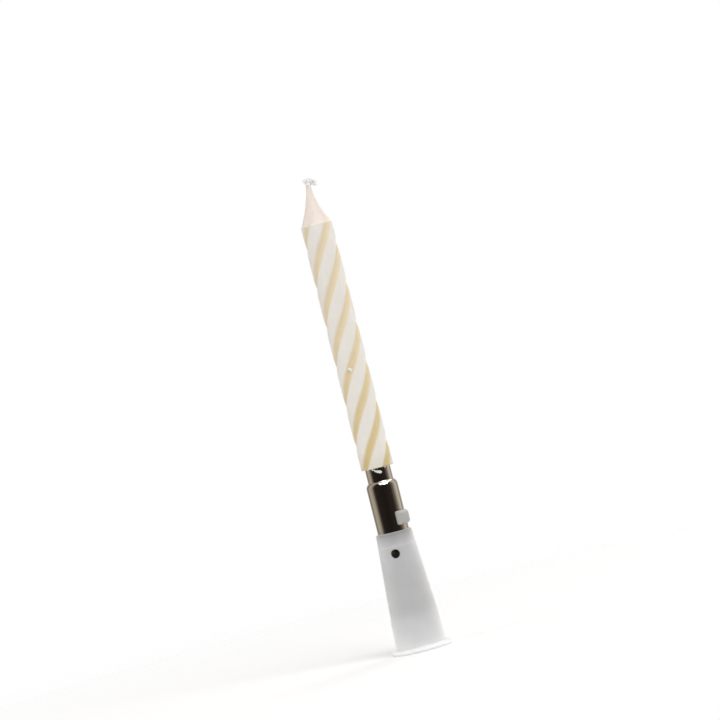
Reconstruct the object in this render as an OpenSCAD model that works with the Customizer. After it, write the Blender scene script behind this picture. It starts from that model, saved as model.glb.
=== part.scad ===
// Musical birthday candle: a twisted wax candle pressed on a plated ferrule,
// over a flared base that holds a melody board, two button cells and a sounder.
// Units are millimetres. The origin is the middle of the foot and +Z runs up the candle.
// Azimuths are seen from above: 0 is the front (-Y), and they grow towards +X.

/* [Candle] */
// Diameter over the ridges at the lower end
candle_d = 8.7; // [7.8:0.05:9.6]
// Diameter over the ridges below the tip
candle_top_d = 8.45; // [7.6:0.05:9.4]
// Length of the twisted wax, from its lower end to the start of the tip
candle_body_len = 66.7; // [40:0.1:90]
// Length of the drawn-out tip
candle_tip_len = 10.7; // [6:0.1:16]
// Depth of the grooves between the ridges
groove_depth = 0.5; // [0.2:0.01:0.7]
// Number of ridges
spiral_starts = 4; // [3:1:6]
// Rise of one ridge in a full turn
spiral_pitch = 43.2; // [25:0.1:80]
// Azimuth of one groove's middle at the lower end of the candle
spiral_azimuth = 33.5; // [0:0.5:120]
// Share of the way round that the ridges take, the rest is grooves
ridge_share = 0.44; // [0.25:0.01:0.65]
// Wax left between a groove and the neck inside it
wax_wall = 0.38; // [0.15:0.01:0.6]
// Wax round the wick at the very tip
tip_wall = 0.16; // [0.1:0.01:0.5]

/* [Wick] */
// Diameter of the wick
wick_d = 1.0; // [0.6:0.05:1.4]
// Length of the bare wick above the wax
wick_tuft_len = 1.7; // [1:0.1:4]
// Number of strands that its end splays into
wick_strands = 7; // [5:1:9]
// Angle of a splayed strand from the wick
wick_splay = 24; // [8:1:30]
// Lean of the splayed end towards +X
wick_lean = 18; // [0:1:22]

/* [Ferrule] */
// Sheet thickness of the plated ferrule
ferrule_wall = 0.35; // [0.25:0.01:0.45]
// Radius of the domed shoulder
shoulder_round = 1.8; // [1.4:0.05:2.2]
// Radius of the fillet between the shoulder and the neck
neck_fillet = 0.4; // [0.2:0.05:0.8]
// Length of the neck that shows under the candle
neck_show = 3.55; // [2:0.05:6]
// Length of the neck inside the candle
neck_in = 4.0; // [2:0.1:8]

/* [Button] */
// Azimuth of the button
button_azimuth = 48; // [20:1:70]
// Width of the button round the barrel
button_w = 3.7; // [2.6:0.05:4.2]
// Height of the button along the barrel
button_h = 3.7; // [3:0.05:5]
// How far the button stands out of the barrel
button_proud = 1.9; // [1.1:0.05:2.2]
// How far the button can be pressed
button_travel = 0.7; // [0.4:0.05:0.9]
// Height of the barrel that shows under the button
button_gap = 1.5; // [0.9:0.05:4]

/* [Base] */
// Height of the base, from its foot to the mouth of its collar
base_h = 32.3; // [28:0.1:44]
// Height of the nearly straight foot part of the base
base_foot_h = 7.5; // [6.5:0.1:10]
// Wall of the base
base_wall = 0.75; // [0.6:0.05:1.1]
// Wall of the collar that holds the ferrule
collar_wall = 0.6; // [0.4:0.05:1]
// Depth of that collar
collar_depth = 3.7; // [2.5:0.1:5]
// How far the flange stands out from the foot
flange_reach = 1.2; // [0.8:0.05:3]
// Thickness of the flange
flange_t = 1.0; // [0.6:0.05:1.6]
// Fillet between the flange and the foot
flange_fillet = 0.85; // [0.2:0.05:1.2]
// Diameter of the sound hole
sound_hole_d = 2.5; // [1.2:0.05:3]
// Azimuth of the sound hole
sound_hole_azimuth = -10; // [-40:1:10]

/* [Electronics] */
// Diameter of a button cell
cell_d = 6.8; // [6.4:0.1:7.9]
// Thickness of a button cell
cell_t = 2.1; // [1.6:0.05:3.6]
// Diameter of the sounder's brass plate
piezo_d = 11.2; // [10.8:0.1:14]
// Thickness of the circuit board
board_t = 0.8; // [0.6:0.1:1]
// Diameter of an insulated lead
lead_d = 0.6; // [0.4:0.05:0.8]

/* [Hidden] */
$fn = 64;

// Clearances of a press fit, of pieces that are dropped in and of the button
press_clear = 0.02;
loose_clear = 0.05;
slide_clear = 0.1;
// A cut runs this far past the face that it opens
past = 1;

// Carrier: its cup holds the cells and sets the barrel's size
cell_count = 2;
cup_wall = 0.42;
cup_floor = 0.8;
cup_in_r = cell_d / 2 + loose_clear;
cup_out_r = cup_in_r + cup_wall;
carrier_clear = 0.15;
carrier_wall = 0.9;
foot_ring_h = 1.2;
contact_t = 0.2;
contact_tab_w = 1.6;
contact_tab_len = 1.0;
spring_h = 1.85;
spring_wire_d = 0.35;
spring_gap = 0.25;

// Ferrule: the cup sets the barrel and the candle sets the neck
barrel_in_r = cup_out_r + loose_clear;
barrel_r = barrel_in_r + ferrule_wall;
ridge_r = candle_d / 2;
ridge_top_r = candle_top_d / 2;
neck_r = ridge_r - groove_depth - wax_wall - press_clear;
neck_in_r = neck_r - ferrule_wall;
crown_round = 0.4;

// Button: a plunger with a lip that stays behind the barrel's wall
button_lip = 0.6;
button_corner = 0.5;
button_crown_r = 0.82 * max(button_w, button_h);
lip_room = 0.3;
lip_half_w = button_w / 2 + button_lip;
lip_half_h = button_h / 2 + button_lip;

// Heights up the base, the barrel and the candle
ledge_t = 0.6;
barrel_z0 = base_h - collar_depth;
cavity_top = barrel_z0 - ledge_t;
button_z = base_h + button_gap + button_h / 2;
cup_z0 = button_z + lip_half_h + lip_room;
cup_floor_z = cup_z0 + cup_floor;
cell_z0 = cup_floor_z + contact_t;
cell_top = cell_z0 + cell_count * cell_t;
// The shoulder's dome rests on the spring's last turn, and the fillet touches the dome and the neck
spring_top = cell_top + spring_h;
spring_high_r = barrel_in_r - spring_wire_d / 2 - spring_gap;
shoulder_c = barrel_r - shoulder_round;
shoulder_in_round = shoulder_round - ferrule_wall;
shoulder_z0 = spring_top - sqrt(pow(shoulder_in_round, 2) - pow(barrel_in_r - spring_gap - shoulder_c, 2));
shoulder_in_angle = acos((neck_in_r - shoulder_c) / shoulder_in_round);
fillet_angle = acos((neck_r + neck_fillet - shoulder_c) / (shoulder_round + neck_fillet));
neck_z0 = shoulder_z0 + (shoulder_round + neck_fillet) * sin(fillet_angle);
candle_z0 = neck_z0 + neck_show;
ferrule_top = candle_z0 + neck_in;
candle_shoulder_z = candle_z0 + candle_body_len;
candle_top = candle_shoulder_z + candle_tip_len;
wick_cover = 0.8;
wick_z0 = ferrule_top + wick_cover;

// Base: the sounder sets the foot and the ferrule sets the collar
piezo_clear = 0.35;
foot_draft = 0.25;
collar_r = barrel_r + press_clear;
collar_lead = 0.15;
base_top_r = collar_r + collar_wall;
base_shoulder_r = piezo_d / 2 + piezo_clear + base_wall;
base_foot_r = base_shoulder_r + foot_draft;
flange_r = base_foot_r + flange_reach;
flange_edge = min(0.3, flange_t / 3);
flange_round = min(flange_fillet, flange_reach - flange_edge - loose_clear);
mouth_chamfer = 0.3;

// Bottom cap, and the sounder on its ring
cap_recess = 0.3;
cap_t = 1.0;
cap_ring_wall = 0.8;
cap_clear = 0.08;
cap_chamfer = 0.1;
snap_h = 0.12;
snap_rise = 1.4;
snap_z = cap_recess + cap_t + snap_rise;
piezo_drop = 0.9;
piezo_seat = 0.6;
piezo_plate_t = 0.2;
ceramic_t = 0.2;
piezo_z = base_foot_h - piezo_drop;
ceramic_z = piezo_z + piezo_plate_t;
foot_ring_in_r = piezo_d / 2 - piezo_seat;
foot_ring_top = max(ceramic_z + foot_ring_h, base_foot_h);
lead_room = 0.1;
ceramic_r = foot_ring_in_r - lead_d - 2 * lead_room;

// Circuit board, in the button's own frame: +X runs out through the button
board_back_x = 0.2;
board_x = board_back_x + board_t;
board_edge_clear = 0.35;
board_half_w = sqrt(pow(barrel_in_r, 2) - pow(board_x, 2)) - board_edge_clear;
board_rise = 3.2;
board_z0 = ceramic_z + board_rise;
stake_r = 0.55;
stake_head = 0.25;
stake_y = board_half_w - 1;
stake_places = [[stake_y, board_z0 + 9], [-stake_y, board_z0 + 5]];
sound_hole_drop = 0.05;
sound_hole_z = cavity_top - sound_hole_d / 2 - sound_hole_drop;
chip_r = 2.6;
chip_h = 1.3;
chip_y = -0.4;
chip_z = barrel_z0 - chip_r - slide_clear;
resistor_size = [0.5, 2, 1.2];
resistor_cap = 0.3;
resistor_z = board_z0 + 7;

// Switch: blade and clip are bent from thin strip
strip_t = 0.15;
stud_h = 0.5;
stud_r = 0.6;
blade_w = 2.0;
blade_gap = 0.05;
blade_foot = 1.8;
blade_curl = 0.2;
blade_z0 = barrel_z0 + 0.5;
blade_in_x = board_x + stud_h + button_travel - blade_gap;
blade_out_x = blade_in_x + strip_t;
lip_x = blade_out_x + blade_gap;
clip_w = 0.9;
clip_foot = 1.4;
clip_rise = 1.6;
clip_fall = 1.2;
clip_y = board_half_w - clip_w / 2 - loose_clear;
clip_x = sqrt(pow(barrel_in_r, 2) - pow(clip_y + clip_w / 2, 2)) - loose_clear;

// Inside and outside of the base at a height
function base_out_r(z) = z < base_foot_h
    ? base_shoulder_r + foot_draft * (base_foot_h - z) / base_foot_h
    : base_top_r + (base_shoulder_r - base_top_r) * (base_h - z) / (base_h - base_foot_h);
function base_in_r(z) = base_out_r(z) - base_wall;

function arc(cx, cy, r, from, to, steps = 8) =
    [for (i = [0:steps]) let (a = from + (to - from) * i / steps) [cx + r * cos(a), cy + r * sin(a)]];

// Turns a shape made with +X outward to an azimuth
module facing(azimuth) {
    rotate([0, 0, azimuth - 90]) children();
}

module turned(points) {
    rotate_extrude() polygon(points);
}

module disc(r, z0, z1) {
    translate([0, 0, z0]) cylinder(r = r, h = z1 - z0);
}

module block(low, high) {
    translate(low) cube(high - low);
}

module rounded_rect(w, h, r) {
    square([w, h - 2 * r], center = true);
    square([w - 2 * r, h], center = true);
    for (sx = [-1, 1], sy = [-1, 1]) translate([sx * (w / 2 - r), sy * (h / 2 - r)]) circle(r = r);
}

// A strip of width w about y, bent to a side outline in X and Z
module strip(outline, w, y = 0) {
    translate([0, y + w / 2, 0]) rotate([90, 0, 0]) linear_extrude(height = w) polygon(outline);
}

// A skin through rings of equally many points, closed by the first and last ring
module loft(rings) {
    n = len(rings[0]);
    last = len(rings) - 1;
    sides = [
        for (j = [0:last - 1], i = [0:n - 1])
            let (a = j * n + i, b = j * n + (i + 1) % n)
            each [[a, a + n, b], [b, a + n, b + n]]
    ];
    polyhedron(
        points = [for (ring = rings) each ring],
        faces = concat(sides, [[for (i = [0:n - 1]) i]], [[for (i = [n - 1:-1:0]) last * n + i]])
    );
}

// A tube of radius r and n sides along points, each ring square to the path and turned by ref
function path_dir(points, i) =
    let (a = points[max(i - 1, 0)], b = points[min(i + 1, len(points) - 1)]) (b - a) / norm(b - a);
function tube_ring(p, dir, ref, r, n) =
    let (side = cross(ref, dir), u = side / norm(side), v = cross(dir, u))
    [for (i = [0:n - 1]) p + r * (cos(360 * i / n) * u + sin(360 * i / n) * v)];

module tube(points, r, n, ref) {
    loft([for (i = [len(points) - 1:-1:0]) tube_ring(points[i], path_dir(points, i), ref, r, n)]);
}

// Candle: soft grooves wind round it, and the ridges between them are as round as the candle
groove_half = (1 - ridge_share) / 2;
groove_steps = 4;
ridge_steps = 4;
ring_phases = concat(
    [for (i = [-groove_steps:groove_steps]) groove_half * i / groove_steps],
    [for (i = [1:ridge_steps - 1]) groove_half + ridge_share * i / ridge_steps]
);
candle_foot_flare = 0.06;
tip_ledge = 0.25;
tip_ledge_rise = 0.05;
tip_power = 1.6;
tip_r = wick_d / 2 + press_clear + tip_wall;
rings_per_turn = 24;
tip_rings = 8;
body_rings = ceil(rings_per_turn * candle_body_len / spiral_pitch);

// How far the surface lies under the ridges at a phase from 0, a groove's middle, to 1, the next one's
function groove_dip(p) =
    let (s = min(abs(p), 1 - p) / groove_half)
    s < 1 ? groove_depth * (1 + cos(180 * s)) / 2 : 0;

function body_radius(t) = ridge_r + (ridge_top_r - ridge_r) * t;
function tip_radius(t) = tip_r + (ridge_top_r - tip_ledge - tip_r) * pow(1 - t, tip_power);

// One ring of the wax, with a share of the groove's dip and turned by the twist
function wax_ring(z, r, share) =
    let (turn = spiral_azimuth - 90 + 360 * (z - candle_z0) / spiral_pitch)
    [
        for (k = [0:spiral_starts - 1], p = ring_phases)
            let (a = turn + 360 * (k + p) / spiral_starts, q = r - share * groove_dip(p))
            [q * cos(a), q * sin(a), z]
    ];

function wax_body_rings() = [
    for (i = [0:body_rings])
        let (t = i / body_rings, flare = i == 0 ? candle_foot_flare : 0)
        wax_ring(candle_z0 + candle_body_len * t, body_radius(t) + flare, 1)
];

function wax_tip_rings() = [
    for (i = [0:tip_rings])
        let (t = i / tip_rings, z = candle_shoulder_z + tip_ledge_rise * (1 - t) + candle_tip_len * t)
        wax_ring(z, tip_radius(t), pow(1 - t, 2))
];

module candle_wax() {
    color("ivory") difference() {
        loft(concat(wax_body_rings(), wax_tip_rings()));
        disc(neck_r + press_clear, candle_z0 - past, ferrule_top);
        disc(wick_d / 2 + press_clear, wick_z0, candle_top + past);
    }
}

// Wick: cut square below, and splayed into strands where it leaves the wax
module wick() {
    strand_r = wick_d / 5;
    strand_ring = wick_d / 2 - strand_r;
    root = strand_r;
    color("white") {
        disc(wick_d / 2, wick_z0, candle_top + root);
        translate([0, 0, candle_top + root / 2]) rotate([0, wick_lean, 0]) for (i = [0:wick_strands - 1])
            rotate([0, 0, 360 * i / wick_strands]) translate([strand_ring - loose_clear, 0, 0])
                rotate([0, wick_splay, 0]) cylinder(r = strand_r, h = wick_tuft_len);
    }
}

// Ferrule: one drawn shell with the barrel, its domed shoulder, the fillet and the neck's closed crown
// The fillet's first point is the dome's last one
function ferrule_outside() = concat(
    [[barrel_r, barrel_z0]],
    arc(shoulder_c, shoulder_z0, shoulder_round, 0, fillet_angle * 7 / 8, 7),
    arc(neck_r + neck_fillet, neck_z0, neck_fillet, 180 + fillet_angle, 180),
    arc(neck_r - crown_round, ferrule_top - crown_round, crown_round, 0, 90)
);

function ferrule_inside() = concat(
    [[0, ferrule_top - ferrule_wall], [neck_in_r, ferrule_top - ferrule_wall]],
    arc(shoulder_c, shoulder_z0, shoulder_in_round, shoulder_in_angle, 0),
    [[barrel_in_r, barrel_z0]]
);

module ferrule() {
    color("silver") difference() {
        turned(concat(ferrule_outside(), [[0, ferrule_top]], ferrule_inside()));
        facing(button_azimuth) translate([0, 0, button_z]) rotate([90, 0, 90])
            linear_extrude(height = barrel_r + past)
                rounded_rect(button_w + 2 * slide_clear, button_h + 2 * slide_clear, button_corner);
    }
}

// Button: a crowned plunger, and the lip that the barrel's wall keeps in
module push_button() {
    face_x = barrel_r + button_proud;
    color("whitesmoke") facing(button_azimuth) {
        intersection() {
            translate([lip_x, 0, button_z]) rotate([90, 0, 90])
                linear_extrude(height = face_x - lip_x) rounded_rect(button_w, button_h, button_corner);
            translate([face_x - button_crown_r, 0, button_z]) sphere(r = button_crown_r);
        }
        intersection() {
            block([lip_x, -lip_half_w, button_z - lip_half_h], [barrel_r, lip_half_w, button_z + lip_half_h]);
            disc(barrel_in_r - slide_clear, button_z - button_h, button_z + button_h);
        }
    }
}

// Switch blade: its foot lies on the board and its free end rests behind the button
module switch_blade() {
    foot_z = blade_z0 + blade_foot;
    bend_z = button_z - button_h / 2 + 2 * blade_curl;
    tip_z = button_z + button_h / 2 - 2 * blade_curl;
    curl_z = tip_z + 2 * blade_curl;
    color("gold") facing(button_azimuth) strip([
        [board_x, blade_z0], [board_x + strip_t, blade_z0], [board_x + strip_t, foot_z],
        [blade_out_x, bend_z], [blade_out_x, tip_z], [blade_out_x - blade_curl, curl_z],
        [blade_in_x - blade_curl, curl_z], [blade_in_x, tip_z], [blade_in_x, bend_z], [board_x, foot_z]
    ], blade_w);
}

module contact_stud() {
    color("gold") facing(button_azimuth) translate([board_x, 0, button_z]) rotate([0, 90, 0])
        cylinder(r = stud_r, h = stud_h);
}

// Earth clip: a bowed leaf from the board to the barrel's wall
module earth_clip() {
    foot_z = blade_z0 + clip_foot;
    top_z = foot_z + clip_rise;
    end_z = top_z + clip_fall;
    color("gold") facing(button_azimuth) strip([
        [board_x, blade_z0], [board_x + strip_t, blade_z0], [board_x + strip_t, foot_z],
        [clip_x, top_z], [board_x + strip_t, end_z], [board_x, end_z],
        [clip_x - strip_t, top_z], [board_x, foot_z]
    ], clip_w, -clip_y);
}

module circuit_board() {
    color("peru") facing(button_azimuth) difference() {
        block([board_back_x, -board_half_w, board_z0], [board_x, board_half_w, cup_z0]);
        for (place = stake_places) translate([0, place[0], place[1]]) rotate([0, 90, 0])
            cylinder(r = stake_r + loose_clear, h = board_x + past);
    }
}

// Melody chip: a drop of black resin
module melody_chip() {
    dome_r = (pow(chip_r, 2) + pow(chip_h, 2)) / (2 * chip_h);
    color("black") facing(button_azimuth) translate([board_x, chip_y, chip_z]) intersection() {
        translate([chip_h - dome_r, 0, 0]) sphere(r = dome_r);
        block([0, -chip_r, -chip_r], [chip_h, chip_r, chip_r]);
    }
}

// Timing resistor: a chip with a metal cap at each end
module timing_resistor() {
    size = resistor_size;
    color("dimgray") facing(button_azimuth) translate([board_x, -size[1] / 2, resistor_z]) {
        translate([0, resistor_cap, 0]) cube([size[0] - loose_clear, size[1] - 2 * resistor_cap, size[2]]);
        for (y = [0, size[1] - resistor_cap]) translate([0, y, 0]) cube([size[0], resistor_cap, size[2]]);
    }
}

// The tapered space inside the base, drawn in by gap
module cavity_core(gap, z0, z1) {
    turned([[0, z0], [base_in_r(z0) - gap, z0], [base_in_r(z1) - gap, z1], [0, z1]]);
}

// The half of the part behind a plane square to the button
module behind(x) {
    block([-base_foot_r, -base_foot_r, 0], [x, base_foot_r, cup_floor_z]);
}

// Carrier: a half-round spine with the cells' cup on top, a ring at its foot and two stakes for the board
module carrier() {
    top = cavity_top - slide_clear;
    ring_r = base_in_r(foot_ring_top) - carrier_clear;
    color("dimgray") facing(button_azimuth) difference() {
        union() {
            disc(cup_out_r, cup_z0, cell_top);
            intersection() {
                union() {
                    disc(barrel_in_r - carrier_clear, top - past, cup_floor_z);
                    cavity_core(carrier_clear, foot_ring_top - carrier_clear, top);
                }
                behind(board_back_x);
            }
            difference() {
                disc(ring_r, ceramic_z, foot_ring_top);
                disc(foot_ring_in_r, ceramic_z - past, foot_ring_top + past);
            }
            for (place = stake_places) translate([board_back_x - past, place[0], place[1]])
                rotate([0, 90, 0]) cylinder(r = stake_r, h = past + board_t + stake_head);
        }
        disc(cup_in_r, cup_floor_z, cell_top + past);
        block([board_x - loose_clear, -contact_tab_w / 2 - slide_clear, cup_z0 - past],
            [board_x + contact_t + loose_clear, contact_tab_w / 2 + slide_clear, cup_floor_z + past]);
        intersection() {
            cavity_core(carrier_clear + carrier_wall, ceramic_z, top - carrier_wall);
            behind(board_back_x - carrier_wall);
        }
    }
}

// Button cell: a can with its smaller negative cap on top
module cell(level) {
    r = cell_d / 2;
    edge = 0.2;
    cap_r = r - 0.7;
    cap_h = 0.3;
    cap_edge = cap_h / 3;
    z0 = cell_z0 + level * cell_t;
    z1 = z0 + cell_t;
    color("lightsteelblue") turned([
        [0, z0], [r - edge, z0], [r, z0 + edge], [r, z1 - cap_h - edge], [r - edge, z1 - cap_h],
        [cap_r, z1 - cap_h], [cap_r, z1 - cap_edge], [cap_r - cap_edge, z1], [0, z1]
    ]);
}

// Positive contact: a disc under the cells with a tab down the board
module positive_contact() {
    color("gold") {
        disc(cup_in_r - carrier_clear, cup_floor_z, cell_z0);
        facing(button_azimuth) block([board_x, -contact_tab_w / 2, cup_z0 - contact_tab_len],
            [board_x + contact_t, contact_tab_w / 2, cell_z0]);
    }
}

// Negative spring: a conical coil, small on the upper cell and wide under the ferrule's shoulder
spring_turns = 2;
spring_rings = 12;
spring_low_r = cell_d / 4;
spring_climb = spring_h - spring_wire_d;

function spring_points() = [
    for (i = [0:spring_turns * spring_rings])
        let (t = i / (spring_turns * spring_rings), r = spring_low_r + (spring_high_r - spring_low_r) * t)
        let (a = 360 * spring_turns * t)
        [r * cos(a), r * sin(a), cell_top + spring_wire_d / 2 + spring_climb * t]
];

module negative_spring() {
    color("silver") tube(spring_path, spring_wire_d / 2, 6, [0, 0, 1]);
}

// The least gap from wire to wire between points one turn apart
spring_path = spring_points();
spring_gaps = [
    for (i = [spring_rings:len(spring_path) - 1])
        norm(spring_path[i] - spring_path[i - spring_rings]) - spring_wire_d
];
echo(least_spring_gap = min(spring_gaps));

module piezo_plate() {
    color("gold") disc(piezo_d / 2, piezo_z, ceramic_z);
}

module piezo_ceramic() {
    color("gainsboro") disc(ceramic_r, ceramic_z, ceramic_z + ceramic_t);
}

// Leads, in the button's frame: from the board's face to an end on the sounder
lead_x = board_x + lead_d / 2;
lead_y = 1.6;
rim_r = (ceramic_r + foot_ring_in_r) / 2;
rim_angle = 20;

function lead_points(y, end) =
    let (drop = board_z0 - end[2])
    [
        [lead_x, y, board_z0 + 2.4], [lead_x, y, board_z0 + 1.2], [lead_x + 0.1, y, board_z0 + 0.2],
        [(lead_x + end[0]) / 2, (y + end[1]) / 2, board_z0 - 0.25 * drop],
        [end[0] - 0.1, end[1], board_z0 - 0.55 * drop], [end[0], end[1], end[2] + lead_d], end
    ];

module red_lead() {
    end = [ceramic_r * 0.6, lead_y * 0.75, ceramic_z + ceramic_t];
    color("firebrick") facing(button_azimuth) tube(lead_points(lead_y, end), lead_d / 2, 8, [0, 1, 0]);
}

module black_lead() {
    end = [rim_r * cos(rim_angle), -rim_r * sin(rim_angle), ceramic_z];
    color("black") facing(button_azimuth) tube(lead_points(-lead_y, end), lead_d / 2, 8, [0, 1, 0]);
}

// Base: a flared cone with a collar for the ferrule, a ledge under it and a flange to stand on
function base_outside() = concat(
    arc(flange_r - flange_edge, flange_edge, flange_edge, -90, 0, 4),
    arc(flange_r - flange_edge, flange_t - flange_edge, flange_edge, 0, 90, 4),
    arc(base_foot_r + flange_round, flange_t + flange_round, flange_round, 270, 180),
    [[base_shoulder_r, base_foot_h], [base_top_r, base_h]]
);

function base_inside() = [
    [collar_r + collar_lead, base_h], [collar_r, base_h - 2 * collar_lead], [collar_r, barrel_z0],
    [barrel_in_r, barrel_z0], [barrel_in_r, cavity_top], [base_in_r(cavity_top), cavity_top],
    [base_in_r(base_foot_h), base_foot_h], [base_in_r(snap_z + 2 * snap_h), snap_z + 2 * snap_h],
    [base_in_r(snap_z) + snap_h, snap_z], [base_in_r(snap_z - 2 * snap_h), snap_z - 2 * snap_h],
    [base_in_r(mouth_chamfer), mouth_chamfer], [base_in_r(0) + mouth_chamfer, 0]
];

module base_cone() {
    color("aliceblue") difference() {
        turned(concat(base_outside(), base_inside()));
        facing(sound_hole_azimuth) translate([0, 0, sound_hole_z]) rotate([0, 90, 0])
            cylinder(d = sound_hole_d, h = base_foot_r + past);
    }
}

// Bottom cap: a plug with a snap bead, whose ring carries the sounder
module bottom_cap() {
    floor_z = cap_recess + cap_t;
    function plug_r(z) = base_in_r(z) - cap_clear;
    ring_in_r = plug_r(piezo_z) - cap_ring_wall;
    color("white") turned([
        [0, cap_recess], [plug_r(cap_recess) - cap_chamfer, cap_recess],
        [plug_r(cap_recess + cap_chamfer), cap_recess + cap_chamfer],
        [plug_r(snap_z - 2 * snap_h), snap_z - 2 * snap_h], [plug_r(snap_z) + snap_h, snap_z],
        [plug_r(snap_z + 2 * snap_h), snap_z + 2 * snap_h], [plug_r(piezo_z), piezo_z],
        [ring_in_r, piezo_z], [ring_in_r, floor_z], [0, floor_z]
    ]);
}

candle_wax();
wick();
ferrule();
push_button();
switch_blade();
contact_stud();
earth_clip();
circuit_board();
melody_chip();
timing_resistor();
carrier();
cell(0);  // lower_cell
cell(1);  // upper_cell
positive_contact();
negative_spring();
piezo_plate();
piezo_ceramic();
red_lead();
black_lead();
base_cone();
bottom_cap();
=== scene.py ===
# %% [markdown]
# # A musical birthday candle
#
# A twisted two-colour candle sits on the neck of a plated ferrule, and the ferrule is plugged into a
# flared, milky base. The base hides a small board, two cells and a sounder. This lesson dresses the
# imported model: it keeps every size and joint, and adds the finish that a photograph would show.
#
# Everything is in metres, in the model's own frame: +Z runs up the candle and -Y is the front.
# Sizes are easier to read in millimetres, so they are written that way and multiplied by `MM`.

# %% Load the frame
import math

import bmesh
import bpy
from mathutils import Matrix, Vector, noise as noise_3d


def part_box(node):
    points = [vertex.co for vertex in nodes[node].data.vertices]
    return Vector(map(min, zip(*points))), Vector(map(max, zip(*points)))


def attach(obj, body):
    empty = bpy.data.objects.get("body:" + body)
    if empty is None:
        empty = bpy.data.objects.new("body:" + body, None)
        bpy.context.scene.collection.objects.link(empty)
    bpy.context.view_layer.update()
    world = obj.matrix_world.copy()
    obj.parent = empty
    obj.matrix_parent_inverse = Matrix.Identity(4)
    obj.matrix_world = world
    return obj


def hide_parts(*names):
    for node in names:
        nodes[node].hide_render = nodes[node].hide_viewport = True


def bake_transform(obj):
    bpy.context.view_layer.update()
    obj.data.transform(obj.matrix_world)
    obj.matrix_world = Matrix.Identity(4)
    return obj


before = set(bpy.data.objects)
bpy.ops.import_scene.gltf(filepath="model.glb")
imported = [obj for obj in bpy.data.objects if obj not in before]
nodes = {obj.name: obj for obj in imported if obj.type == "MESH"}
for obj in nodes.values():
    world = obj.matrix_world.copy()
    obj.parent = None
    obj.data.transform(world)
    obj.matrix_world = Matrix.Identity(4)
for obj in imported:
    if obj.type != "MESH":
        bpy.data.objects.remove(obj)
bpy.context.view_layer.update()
MM = 0.001


def span(node):
    """The lowest and highest corner of a node, in millimetres."""
    low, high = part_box(node)
    return low / MM, high / MM


# %% [markdown]
# ## Camera
#
# The candle leans to the left in the picture, but it stands upright in the model. So the camera looks
# level along +Y, and it is the camera that rolls. A long lens from 0.8 m away gives the same slight
# view on to the flange. The columns of a camera's matrix are its right, its up and its back.

# %% Camera
FRAME_WIDTH = 192 * MM
CAMERA_DISTANCE = 790 * MM
CAMERA_ROLL = math.radians(14.12)
LOOK_AT = Vector((2.5, 0, 78.8)) * MM

camera_data = bpy.data.cameras.new("camera")
camera_data.lens = camera_data.sensor_width * CAMERA_DISTANCE / FRAME_WIDTH
camera = bpy.data.objects.new("camera", camera_data)
bpy.context.scene.collection.objects.link(camera)
right = Vector((math.cos(CAMERA_ROLL), 0, -math.sin(CAMERA_ROLL)))
up = Vector((math.sin(CAMERA_ROLL), 0, math.cos(CAMERA_ROLL)))
back = Vector((0, -1, 0))
turn = Matrix((right, up, back)).transposed().to_4x4()
camera.matrix_world = Matrix.Translation(LOOK_AT + back * CAMERA_DISTANCE) @ turn
bpy.context.scene.camera = camera
bpy.context.scene.view_settings.view_transform = "Standard"
print("lens:", round(camera_data.lens, 1), "mm")

# %% [markdown]
# ## Small helpers for node trees
#
# Shader trees and geometry trees are wired the same way: make a node, then give each input either a
# plain value or a link. A few short helpers keep the later cells down to what matters.

# %% Node helpers


def plug(tree, socket, value):
    """Gives an input a link if value is another socket, and a plain value otherwise."""
    if isinstance(value, bpy.types.NodeSocket):
        tree.links.new(value, socket)
    else:
        socket.default_value = value


def add(tree, kind, settings=None, **inputs):
    """A new node; settings are its own properties, and inputs are named with _ for a space."""
    node = tree.nodes.new(kind)
    for key, value in (settings or {}).items():
        setattr(node, key, value)
    for key, value in inputs.items():
        plug(tree, node.inputs[key.replace("_", " ")], value)
    return node


def calc(tree, operation, *values):
    """A Math node's result."""
    node = tree.nodes.new("ShaderNodeMath")
    node.operation = operation
    for socket, value in zip(node.inputs, values):
        plug(tree, socket, value)
    return node.outputs[0]


def ramp(tree, value, start, end, low=0.0, high=1.0, smooth=False):
    """Maps start..end to low..high, held at both ends."""
    node = tree.nodes.new("ShaderNodeMapRange")
    node.interpolation_type = "SMOOTHSTEP" if smooth else "LINEAR"
    for socket, given in zip(node.inputs, (value, start, end, low, high)):
        plug(tree, socket, given)
    return node.outputs[0]


# %% Helpers for colours, vectors and shaders


def mixed(tree, share, one, other, blend="MIX"):
    """A colour between two others, or with MULTIPLY the one shaded by the other."""
    node = add(tree, "ShaderNodeMix", {"data_type": "RGBA", "blend_type": blend})
    for index, value in ((0, share), (6, one), (7, other)):
        plug(tree, node.inputs[index], value)
    return node.outputs[2]


def colour_band(tree, share, stops):
    """A colour that follows a share from 0 to 1; each stop is a place and its colour."""
    node = add(tree, "ShaderNodeValToRGB", Fac=share)
    for _ in stops[2:]:
        node.color_ramp.elements.new(0.5)
    for element, (place, colour) in zip(node.color_ramp.elements, stops):
        element.position = place
        element.color = (*colour, 1)
    return node.outputs["Color"]


def mixed_shader(tree, share, one, other):
    """A shader node between two others."""
    node = add(tree, "ShaderNodeMixShader", Fac=share)
    plug(tree, node.inputs[1], one.outputs[0])
    plug(tree, node.inputs[2], other.outputs[0])
    return node


def vector_calc(tree, operation, *vectors):
    """A Vector Math node, for the vectors given."""
    node = add(tree, "ShaderNodeVectorMath", {"operation": operation})
    for socket, vector in zip(node.inputs, vectors):
        plug(tree, socket, vector)
    return node.outputs["Value" if operation == "LENGTH" else "Vector"]


def times(tree, vector, factor):
    """A vector, scaled."""
    return add(tree, "ShaderNodeVectorMath", {"operation": "SCALE"}, Vector=vector, Scale=factor).outputs[0]


def joined(tree, **axes):
    """A vector from its X, Y and Z; an axis that isn't given is 0."""
    return add(tree, "ShaderNodeCombineXYZ", **axes).outputs[0]


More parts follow.
